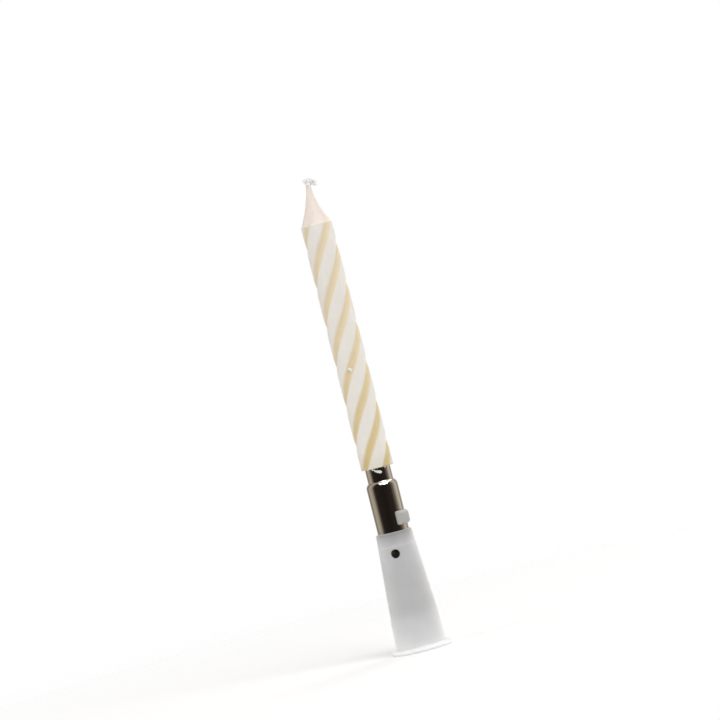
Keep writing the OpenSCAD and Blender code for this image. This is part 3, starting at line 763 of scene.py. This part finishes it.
core = add(g, "GeometryNodeMeshCylinder", Vertices=24, Radius=WICK_R * MM, Depth=CORE_DEPTH * MM)
sunk = add(g, "GeometryNodeTransform", Geometry=core.outputs["Mesh"], Translation=(0, 0, -CORE_DROP * MM))
brush = add(g, "GeometryNodeMeshCone", Vertices=128, Side_Segments=16, Fill_Segments=12,
            Radius_Top=BRUSH_TOP_R * MM, Radius_Bottom=BRUSH_FOOT_R * MM, Depth=BRUSH_DEPTH * MM)
combed = vector_calc(g, "MULTIPLY", position(g), FIBRE_STRETCH)
fluff = roughened(g, brush.outputs["Mesh"], combed, FIBRE_SCALE, 2.0, FIBRE_MIDDLE, FLUFF * MM)
together = add(g, "GeometryNodeJoinGeometry")
for part in (tuft.outputs[0], wisps.outputs[0], sunk.outputs[0], fluff):
    g.links.new(part, together.inputs[0])
for lobe_tilt, lobe_width in LOBES:
    lobe = add(g, "GeometryNodeTransform", Geometry=fluff, Translation=LOBE_PLACE,
               Rotation=(0, lobe_tilt, 0), Scale=(lobe_width, lobe_width, LOBE_LENGTH))
    g.links.new(lobe.outputs[0], together.inputs[0])
print("lobes beside the core:", len(LOBES))

# %% Cut the wick and set it up
loose = add(g, "GeometryNodeRealizeInstances", Geometry=together.outputs[0])
at = split(g, position(g))
trimmed = joined(g, X=at["X"], Y=at["Y"],
                 Z=calc(g, "MINIMUM", at["Z"], calc(g, "MULTIPLY", size["Cut"], MM)))
cut_off = add(g, "GeometryNodeSetPosition", Geometry=loose.outputs[0], Position=trimmed)
set_up = add(g, "GeometryNodeTransform", Geometry=cut_off.outputs[0],
             Translation=(TIP_LEAN * MM, 0, wax_high.z * MM))
soft_ends = add(g, "GeometryNodeSetShadeSmooth", Geometry=set_up.outputs[0])
cotton = finish("wick_cotton", (0.93, 0.925, 0.915), (0.89, 0.885, 0.875), 0.9, 0.1, 0.4, cloud_scale=2500,
                grain_scale=9000, Sheen_Weight=0.6, Sheen_Roughness=0.5)
in_cotton = add(g, "GeometryNodeSetMaterial", Geometry=soft_ends.outputs[0], Material=cotton)
plug(g, made.inputs["Mesh"], in_cotton.outputs[0])

wick = grow("frayed_wick", wick_tree, **dict(WICK_SIZES), **dict(WICK_COUNTS))
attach(wick, "candle_body")
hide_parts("wick")
print("wick top:", round(max(v.co.z for v in wick.data.vertices) / MM, 2), "of", round(wick_high.z, 2))

# %% [markdown]
# ## The plated ferrule
#
# The ferrule is drawn from sheet: a barrel, a domed shoulder, a small fillet and a neck. A turned
# shape is a profile swept round an axis, so it is written as a list of radius and height pairs with
# arcs for the rounded stretches. Bright metal shows every facet, hence the many segments. The window for
# the button is then cut with a Boolean, and the edges that are truly sharp are marked so.

# %% Turned shapes


def arc(centre_r, centre_z, radius, start, end, steps=14):
    """Points of an arc, as (radius, height) pairs; angles in degrees."""
    turns = [math.radians(start + (end - start) * i / steps) for i in range(steps + 1)]
    return [(centre_r + radius * math.cos(a), centre_z + radius * math.sin(a)) for a in turns]


def skin(name, rows, material, loop=False):
    """A closed mesh over rows of points: a loop joins its last row to its first, or else both get a face."""
    shape = bmesh.new()
    rows = [[shape.verts.new(point) for point in row] for row in rows]
    count = len(rows[0])
    for low, high in zip(rows, rows[1:] + rows[:1] if loop else rows[1:]):
        for i in range(count):
            k = (i + 1) % count
            shape.faces.new((low[i], low[k], high[k], high[i]))
    if not loop:
        shape.faces.new(rows[0])
        shape.faces.new(reversed(rows[-1]))
    bmesh.ops.remove_doubles(shape, verts=shape.verts, dist=1e-7)
    bmesh.ops.recalc_face_normals(shape, faces=shape.faces)
    return piece_from(shape, name, material)


def turned_piece(name, profile, material, segments=192):
    """A closed profile in millimetres, swept round Z."""
    turns = [math.tau * s / segments for s in range(segments)]
    rows = [[(r * math.cos(a) * MM, r * math.sin(a) * MM, z * MM) for r, z in profile] for a in turns]
    return skin(name, rows, material, loop=True)


def smooth_shade(piece, sharp_angle):
    """Smooth shading, apart from edges sharper than an angle in degrees."""
    piece.data.shade_smooth()
    piece.data.set_sharp_from_angle(angle=math.radians(sharp_angle))


def combine(piece, other, operation):
    """Fuses another closed mesh with a piece or takes it out, and drops the other."""
    boolean = piece.modifiers.new("combine", "BOOLEAN")
    boolean.operation = operation
    boolean.solver = "EXACT"
    boolean.object = other
    plain(piece)
    bpy.data.objects.remove(other)


# %% Ferrule
ferrule_low, ferrule_high = span("ferrule")
BARREL_R = ferrule_high.x
NECK_R = CANDLE_NECK_R
NECK_SHOW = 3.55
WALL = 0.35
SHOULDER_ROUND = 1.8
NECK_FILLET = 0.4
CROWN_ROUND = 0.4
FOOT_BREAK = 0.08

# The fillet touches both the shoulder's dome and the neck, which gives the angle where they meet
dome_r = BARREL_R - SHOULDER_ROUND
fillet_r = NECK_R + NECK_FILLET
meeting = math.acos((fillet_r - dome_r) / (SHOULDER_ROUND + NECK_FILLET))
inner_end = math.degrees(math.acos((NECK_R - WALL - dome_r) / (SHOULDER_ROUND - WALL)))
neck_low = wax_low.z - NECK_SHOW
dome_z = neck_low - (SHOULDER_ROUND + NECK_FILLET) * math.sin(meeting)
meeting = math.degrees(meeting)

ferrule_profile = (
    [(BARREL_R - FOOT_BREAK, ferrule_low.z), (BARREL_R, ferrule_low.z + FOOT_BREAK)]
    + arc(dome_r, dome_z, SHOULDER_ROUND, 0, meeting)
    + arc(fillet_r, neck_low, NECK_FILLET, 180 + meeting, 180, 10)
    + arc(NECK_R - CROWN_ROUND, ferrule_high.z - CROWN_ROUND, CROWN_ROUND, 0, 90, 6)
    + [(0, ferrule_high.z), (0, ferrule_high.z - WALL), (NECK_R - WALL, ferrule_high.z - WALL)]
    + arc(dome_r, dome_z, SHOULDER_ROUND - WALL, inner_end, 0)
    + [(BARREL_R - WALL, ferrule_low.z)]
)
ferrule = turned_piece("plated_ferrule", ferrule_profile, plating)
print("ferrule faces:", len(ferrule.data.polygons))

# %% [markdown]
# ## The button and its window
#
# The button is a small rounded block with a crowned face and a flat lip inside the barrel, which keeps
# it from falling out. It starts from a square outline with round corners. The sides are that outline
# drawn straight back, and the face is the same outline shrunk to its middle in rings, each set back
# along a ball of 3 mm radius. The outline, a tenth of a millimetre larger, also cuts the window.

# %% Button
button_low, button_high = span("push_button")
BUTTON_AZIMUTH = math.radians(48)
BUTTON_W, BUTTON_H = 3.7, 3.7
BUTTON_CORNER = 0.5
BUTTON_EDGE = 0.5
BUTTON_CROWN_R = 3.034
BUTTON_PROUD = 1.9
BUTTON_BACK = 2.4
LIP_BACK, LIP_HALF, LIP_R = 2.35, 2.45, 3.82
WINDOW_GAP = 0.1
WINDOW_REACH = (1.0, 6.5)
FACE_RINGS, RING_STEP = 20, 4.5
button_z = (button_low.z + button_high.z) / 2
button_face = BARREL_R + BUTTON_PROUD
out = Vector((math.sin(BUTTON_AZIMUTH), -math.cos(BUTTON_AZIMUTH), 0))
side = Vector((math.cos(BUTTON_AZIMUTH), math.sin(BUTTON_AZIMUTH), 0))


def by_button(x, y, z):
    """A point from the button's own outward, sideways and upward millimetres."""
    return (out * x + side * y + Vector((0, 0, button_z + z))) * MM


def round_square(half_w, half_h, corner, steps=10):
    """The outline of a square with round corners, as (sideways, upward) pairs."""
    outline = []
    for quarter, (sy, sz) in enumerate(((1, 1), (-1, 1), (-1, -1), (1, -1))):
        for i in range(steps + 1):
            a = math.radians(90 * (quarter + i / steps))
            outline.append((sy * (half_w - corner) + corner * math.cos(a),
                            sz * (half_h - corner) + corner * math.sin(a)))
    return outline


def crowned(share, y, z):
    """How far out the face is at a share of the outline: the crown, and the rounded edge outside it."""
    from_middle = math.hypot(y, z)
    crown = BUTTON_CROWN_R - math.sqrt(BUTTON_CROWN_R ** 2 - from_middle ** 2)
    flat_share = 1 - BUTTON_EDGE / (BUTTON_W / 2)
    over = max(0.0, (share - flat_share) / (1 - flat_share))
    return button_face - crown - BUTTON_EDGE * (1 - math.sqrt(1 - over ** 2))


outline = round_square(BUTTON_W / 2, BUTTON_H / 2, BUTTON_CORNER)
shares = [math.sin(math.radians(90 - RING_STEP * i)) for i in range(FACE_RINGS)]
button_rings = [[by_button(BUTTON_BACK, y, z) for y, z in outline]]
button_rings += [[by_button(crowned(k, k * y, k * z), k * y, k * z) for y, z in outline] for k in shares]
button = skin("push_button_cap", button_rings, button_plastic)
print("button stands proud by", round(button_face - BARREL_R, 2), "mm")

# %% Lip and window
LIP_STEPS = 16
lip_sides = [-LIP_HALF + LIP_HALF * i / (LIP_STEPS // 2) for i in range(LIP_STEPS + 1)]
lip_outline = [(LIP_BACK, LIP_HALF), (LIP_BACK, -LIP_HALF)]
lip_outline += [(math.sqrt(LIP_R ** 2 - y ** 2), y) for y in lip_sides]
lip_rows = [[by_button(x, y, z) for x, y in lip_outline] for z in (-LIP_HALF, LIP_HALF)]
combine(button, skin("button_lip", lip_rows, button_plastic), "UNION")
smooth_shade(button, 50)
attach(button, "button")
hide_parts("push_button")

window_outline = round_square(BUTTON_W / 2 + WINDOW_GAP, BUTTON_H / 2 + WINDOW_GAP,
                              BUTTON_CORNER + WINDOW_GAP)
window_rows = [[by_button(x, y, z) for y, z in window_outline] for x in WINDOW_REACH]
combine(ferrule, skin("window", window_rows, plating), "DIFFERENCE")
smooth_shade(ferrule, 30)
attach(ferrule, "candle_body")
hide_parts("ferrule")
print("button and ferrule faces:", len(button.data.polygons), len(ferrule.data.polygons))

# %% [markdown]
# ## The milky base
#
# The base is turned too, with a real wall, because its plastic lets some light through and the dark
# inside makes its middle greyer than its sides. The sound hole is bored through the wall, and a fine
# bead follows its edge where the moulding has a slight burr.

# %% Base
base_high = span("base_cone")[1]
BASE_H = base_high.z
BASE_WALL = 0.75
COLLAR_R = BARREL_R + 0.02
BASE_TOP_R = COLLAR_R + 0.6
BASE_SHOULDER_R, BASE_SHOULDER_Z = 6.7, 7.5
BASE_FOOT_R = 6.95
FLANGE_R = base_high.x
FLANGE_T, FLANGE_EDGE, FLANGE_FILLET = 1.0, 0.3, 0.85
BARREL_SEAT = ferrule_low.z
LEDGE_T = 0.6
LEDGE_R = BARREL_R - WALL
TOP_EDGE, COLLAR_LEAD, FOOT_LEAD = 0.15, (0.15, 0.3), 0.3


def cone_r(z):
    """Outer radius of the base above its foot."""
    return BASE_TOP_R + (BASE_SHOULDER_R - BASE_TOP_R) * (BASE_H - z) / (BASE_H - BASE_SHOULDER_Z)


inner_foot_r = BASE_FOOT_R - BASE_WALL
ledge_z = BARREL_SEAT - LEDGE_T
base_profile = (
    arc(FLANGE_R - FLANGE_EDGE, FLANGE_EDGE, FLANGE_EDGE, -90, 0, 6)
    + arc(FLANGE_R - FLANGE_EDGE, FLANGE_T - FLANGE_EDGE, FLANGE_EDGE, 0, 90, 6)
    + arc(BASE_FOOT_R + FLANGE_FILLET, FLANGE_T + FLANGE_FILLET, FLANGE_FILLET, 270, 180, 10)
    + [(BASE_SHOULDER_R + 0.02, BASE_SHOULDER_Z - 0.5)]
    + [(cone_r(z), z) for z in (BASE_SHOULDER_Z + 0.5, 12.0, 17.0, 22.0, 24.0, 29.0)]
    + arc(BASE_TOP_R - TOP_EDGE, BASE_H - TOP_EDGE, TOP_EDGE, 4, 90, 5)
    + [(COLLAR_R + COLLAR_LEAD[0], BASE_H), (COLLAR_R, BASE_H - COLLAR_LEAD[1]), (COLLAR_R, BARREL_SEAT),
       (LEDGE_R, BARREL_SEAT), (LEDGE_R, ledge_z), (cone_r(ledge_z) - BASE_WALL, ledge_z),
       (BASE_SHOULDER_R - BASE_WALL, BASE_SHOULDER_Z), (inner_foot_r, FOOT_LEAD),
       (inner_foot_r + FOOT_LEAD, 0)]
)
base = turned_piece("milky_base", base_profile, base_plastic)
print("points in the base's profile:", len(base_profile))

# %% Sound hole
HOLE_R = 1.25
HOLE_Z = 26.7
HOLE_AZIMUTH = math.radians(-10)
HOLE_BEAD = 0.07
DRILL_LENGTH, DRILL_OUT = 6, 5
HOLE_STEPS = 72
hole_out = Vector((math.sin(HOLE_AZIMUTH), -math.cos(HOLE_AZIMUTH), 0))
hole_side = Vector((math.cos(HOLE_AZIMUTH), math.sin(HOLE_AZIMUTH), 0))

shape = bmesh.new()
bmesh.ops.create_cone(shape, cap_ends=True, segments=HOLE_STEPS, radius1=HOLE_R * MM, radius2=HOLE_R * MM,
                      depth=DRILL_LENGTH * MM)
across = Matrix((hole_side, Vector((0, 0, 1)), hole_out)).transposed().to_4x4()
drill_place = Matrix.Translation((hole_out * DRILL_OUT + Vector((0, 0, HOLE_Z))) * MM)
bmesh.ops.transform(shape, matrix=drill_place @ across, verts=shape.verts)
combine(base, piece_from(shape, "drill", base_plastic), "DIFFERENCE")
smooth_shade(base, 28)
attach(base, "candle_body")
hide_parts("base_cone")
print("base faces:", len(base.data.polygons))

# %% Rim of the sound hole
BEAD_SIDES = 10


def on_hole_edge(angle):
    """The point of the hole's edge at an angle round the hole, on the cone's outside."""
    z = HOLE_Z + HOLE_R * math.sin(angle)
    across = HOLE_R * math.cos(angle)
    reach = math.sqrt(cone_r(z) ** 2 - across ** 2)
    return hole_out * reach + hole_side * across + Vector((0, 0, z))


edge = [on_hole_edge(math.tau * i / HOLE_STEPS) for i in range(HOLE_STEPS)]
bead_rows = []
for i, point in enumerate(edge):
    onward = (edge[(i + 1) % HOLE_STEPS] - edge[i - 1]).normalized()
    outward = Vector((point.x, point.y, 0)).normalized()
    sideways = onward.cross(outward).normalized()
    bead_turns = [math.tau * j / BEAD_SIDES for j in range(BEAD_SIDES)]
    bead_rows.append([(point + HOLE_BEAD * (outward * math.cos(a) + sideways * math.sin(a))) * MM
                      for a in bead_turns])
hole_rim = skin("sound_hole_rim", bead_rows, base_plastic, loop=True)
hole_rim.data.shade_smooth()
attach(hole_rim, "candle_body")
print("rim faces:", len(hole_rim.data.polygons))

# %% [markdown]
# ## Loose wax
#
# A candle that is pressed on to its ferrule sheds some wax. A thin run sits on the front of the neck,
# a chip sticks to one groove, and crumbs lie where the rim meets the metal. The run and the chip are
# squashed balls, laid on the surface and fused with a voxel Remesh. Their skin is then moved by noise,
# so that no ball shows.

# %% Run and chip
NECK_SKIN = CANDLE_NECK_R + 0.02
GROOVE_SKIN = CANDLE_RIDGE_R - GROOVE_DEPTH
LOOSE_WAX = (
    # sideways and up in millimetres, radius of the surface, half width, half height, half thickness
    (-1.45, 49.75, NECK_SKIN, 0.22, 0.34, 0.20), (-1.05, 49.50, NECK_SKIN, 0.36, 0.22, 0.13),
    (-0.55, 49.12, NECK_SKIN, 0.46, 0.28, 0.14), (0.02, 48.88, NECK_SKIN, 0.62, 0.38, 0.20),
    (0.45, 48.66, NECK_SKIN, 0.48, 0.38, 0.22), (2.05, 49.75, NECK_SKIN, 0.20, 0.24, 0.16),
    (-0.78, 77.15, GROOVE_SKIN + 0.16, 0.52, 0.40, 0.22),
    (-0.42, 76.75, GROOVE_SKIN + 0.16, 0.40, 0.46, 0.20),
    (-0.60, 76.45, GROOVE_SKIN + 0.14, 0.24, 0.30, 0.16),
)
VOXEL = 0.055 * MM
UNEVEN = 0.07 * MM
LUMP = 0.42 * MM

shape = bmesh.new()
for across, z, surface, half_w, half_h, half_t in LOOSE_WAX:
    outward = Vector((across, -math.sqrt(surface ** 2 - across ** 2), 0)).normalized()
    along_skin = Vector((0, 0, 1)).cross(outward)
    basis = Matrix((along_skin * half_w, Vector((0, 0, half_h)), outward * half_t)).transposed() * MM
    place = Matrix.Translation((outward * surface + Vector((0, 0, z))) * MM) @ basis.to_4x4()
    bmesh.ops.create_icosphere(shape, subdivisions=3, radius=1.0, matrix=place)
flakes = piece_from(shape, "wax_flakes", loose_wax)
remesh = flakes.modifiers.new("fuse", "REMESH")
remesh.mode = "VOXEL"
remesh.voxel_size = VOXEL
plain(flakes)
for vertex in flakes.data.vertices:
    vertex.co += vertex.normal * noise_3d.noise(vertex.co / LUMP) * UNEVEN
flakes.data.materials.clear()
flakes.data.materials.append(loose_wax)
flakes.data.shade_smooth()
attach(flakes, "candle_body")
print("loose wax faces:", len(flakes.data.polygons))

# %% [markdown]
# The crumbs repeat, so a Geometry Nodes tree makes them: points round the neck, some of them dropped at
# random, and a small ball on each with its own size and turn. A noise then pushes the balls out of
# shape all together.

# %% Crumbs
CRUMB_SIZES = (("Ring Radius", CANDLE_NECK_R + 0.05), ("Height", wax_low.z - 0.05),
               ("Crumb", 0.15), ("Share", 0.42))
CRUMB_COUNTS = (("Places", 40), ("Seed", 9))
LUMP_SCALE, LUMP_DEPTH = 4200.0, 0.2

crumb_tree, size, made = new_tree("wax_crumbs", CRUMB_SIZES, CRUMB_COUNTS)
g = crumb_tree
seat = add(g, "GeometryNodeCurvePrimitiveCircle", Resolution=96,
           Radius=calc(g, "MULTIPLY", size["Ring Radius"], MM))
places = add(g, "GeometryNodeCurveToPoints", Curve=seat.outputs[0], Count=size["Places"])
astray = times(g, any_of((-0.25, -0.25, -0.22), (0.25, 0.25, 0.04), 3.0), MM)
up_to_rim = joined(g, Z=calc(g, "MULTIPLY", size["Height"], MM))
lifted = add(g, "GeometryNodeSetPosition", Geometry=places.outputs["Points"],
             Offset=vector_calc(g, "ADD", astray, up_to_rim))
drawn_lot = add(g, "FunctionNodeRandomValue", {"data_type": "FLOAT"}, Seed=size["Seed"])
kept = calc(g, "LESS_THAN", drawn_lot.outputs[1], size["Share"])
ball = add(g, "GeometryNodeMeshIcoSphere", Radius=calc(g, "MULTIPLY", size["Crumb"], MM), Subdivisions=3)
crumbs_on = add(g, "GeometryNodeInstanceOnPoints", Points=lifted.outputs[0], Selection=kept,
                Instance=ball.outputs["Mesh"],
                Rotation=any_of((0, 0, 0), (math.tau, math.tau, math.tau), 7.0),
                Scale=any_of((0.5, 0.4, 0.3), (1.5, 1.1, 0.9), 13.0))
single = add(g, "GeometryNodeRealizeInstances", Geometry=crumbs_on.outputs[0])
broken = roughened(g, single.outputs[0], position(g), LUMP_SCALE, 1.0, 0.5, LUMP_DEPTH * MM)
crumbled = add(g, "GeometryNodeSetShadeSmooth", Geometry=broken)
in_wax = add(g, "GeometryNodeSetMaterial", Geometry=crumbled.outputs[0], Material=loose_wax)
plug(g, made.inputs["Mesh"], in_wax.outputs[0])

crumbs = grow("wax_crumbs", crumb_tree, **dict(CRUMB_SIZES), **dict(CRUMB_COUNTS))
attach(crumbs, "candle_body")
print("crumb faces:", len(crumbs.data.polygons))

# %% [markdown]
# ## The switch blade
#
# Pressing the button bends a springy leaf on to its contact. Here the leaf is a strip with many cross
# rows, built along its route from the board up past the button.

# %% Switch blade
brass = finish("spring_brass", (0.80, 0.62, 0.28), (0.66, 0.48, 0.20), 0.28, 0.12, 0.15,
               cloud_scale=600, Metallic=1.0)
blade_low, blade_high = span("switch_blade")
BOARD_FACE = 1.0
STRIP_T = 0.15
BLADE_W = 2.0
BLADE_FREE = 2.15
BLADE_STEPS = 8
blade_bend = button_z - BUTTON_H / 2 + 0.4
blade_foot = blade_low.z + 1.8
BLADE_ROUTE = (
    (BOARD_FACE, blade_low.z), (BOARD_FACE, blade_foot), (BLADE_FREE, blade_bend),
    (BLADE_FREE, blade_high.z - 0.4), (BLADE_FREE - 0.2, blade_high.z),
)
route = []
for (x0, z0), (x1, z1) in zip(BLADE_ROUTE, BLADE_ROUTE[1:]):
    for step in range(BLADE_STEPS):
        t = step / BLADE_STEPS
        route.append((x0 + (x1 - x0) * t, z0 + (z1 - z0) * t))
route.append(BLADE_ROUTE[-1])
section = ((0, -BLADE_W / 2), (STRIP_T, -BLADE_W / 2), (STRIP_T, BLADE_W / 2), (0, BLADE_W / 2))
blade_rows = [[(out * (x + dx) + side * y + Vector((0, 0, z))) * MM for dx, y in section] for x, z in route]
blade = skin("switch_leaf", blade_rows, brass)
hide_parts("switch_blade")
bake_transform(blade)
print("blade rows:", len(blade_rows))

# %% [markdown]
# ## Pieces that keep their solid
#
# The inner pieces already have the right shape, so they keep their own mesh and only get a finish:
# a brown laminate for the board, black resin for the chip, plated steel for the cells, and so on.

# %% Inner finishes
laminate = finish("board_laminate", (0.20, 0.115, 0.055), (0.13, 0.075, 0.035), 0.5, 0.2, 0.4,
                  cloud_scale=700)
resin = finish("black_resin", (0.052, 0.040, 0.024), (0.034, 0.026, 0.017), 0.22, 0.15, 0.3, cloud_scale=500)
moulding = finish("black_moulding", (0.030, 0.029, 0.029), (0.018, 0.018, 0.018), 0.45, 0.15, 0.5)
cell_steel = finish("cell_steel", (0.66, 0.66, 0.67), (0.54, 0.54, 0.55), 0.24, 0.12, 0.2,
                    cloud_scale=800, Metallic=1.0)
wire_steel = finish("spring_wire", (0.60, 0.60, 0.61), (0.46, 0.46, 0.47), 0.3, 0.12, 0.3, Metallic=1.0)
fired_ceramic = finish("fired_ceramic", (0.78, 0.77, 0.72), (0.66, 0.65, 0.60), 0.55, 0.15, 0.4)
film = finish("resistor_film", (0.05, 0.05, 0.055), (0.03, 0.03, 0.03), 0.4, 0.15, 0.3)
red_sleeve = finish("red_sleeve", (0.52, 0.025, 0.025), (0.40, 0.018, 0.018), 0.35, 0.12, 0.2)
black_sleeve = finish("black_sleeve", (0.022, 0.022, 0.022), (0.012, 0.012, 0.012), 0.35, 0.12, 0.2)

FINISHES = {
    "contact_stud": brass, "earth_clip": brass, "positive_contact": brass, "piezo_plate": brass,
    "circuit_board": laminate, "melody_chip": resin, "timing_resistor": film, "carrier": moulding,
    "lower_cell": cell_steel, "upper_cell": cell_steel, "negative_spring": wire_steel,
    "piezo_ceramic": fired_ceramic, "red_lead": red_sleeve, "black_lead": black_sleeve, "bottom_cap": milky,
}
for name, material in FINISHES.items():
    for holder in nodes[name].material_slots:
        holder.material = material
print("inner pieces finished:", len(FINISHES))
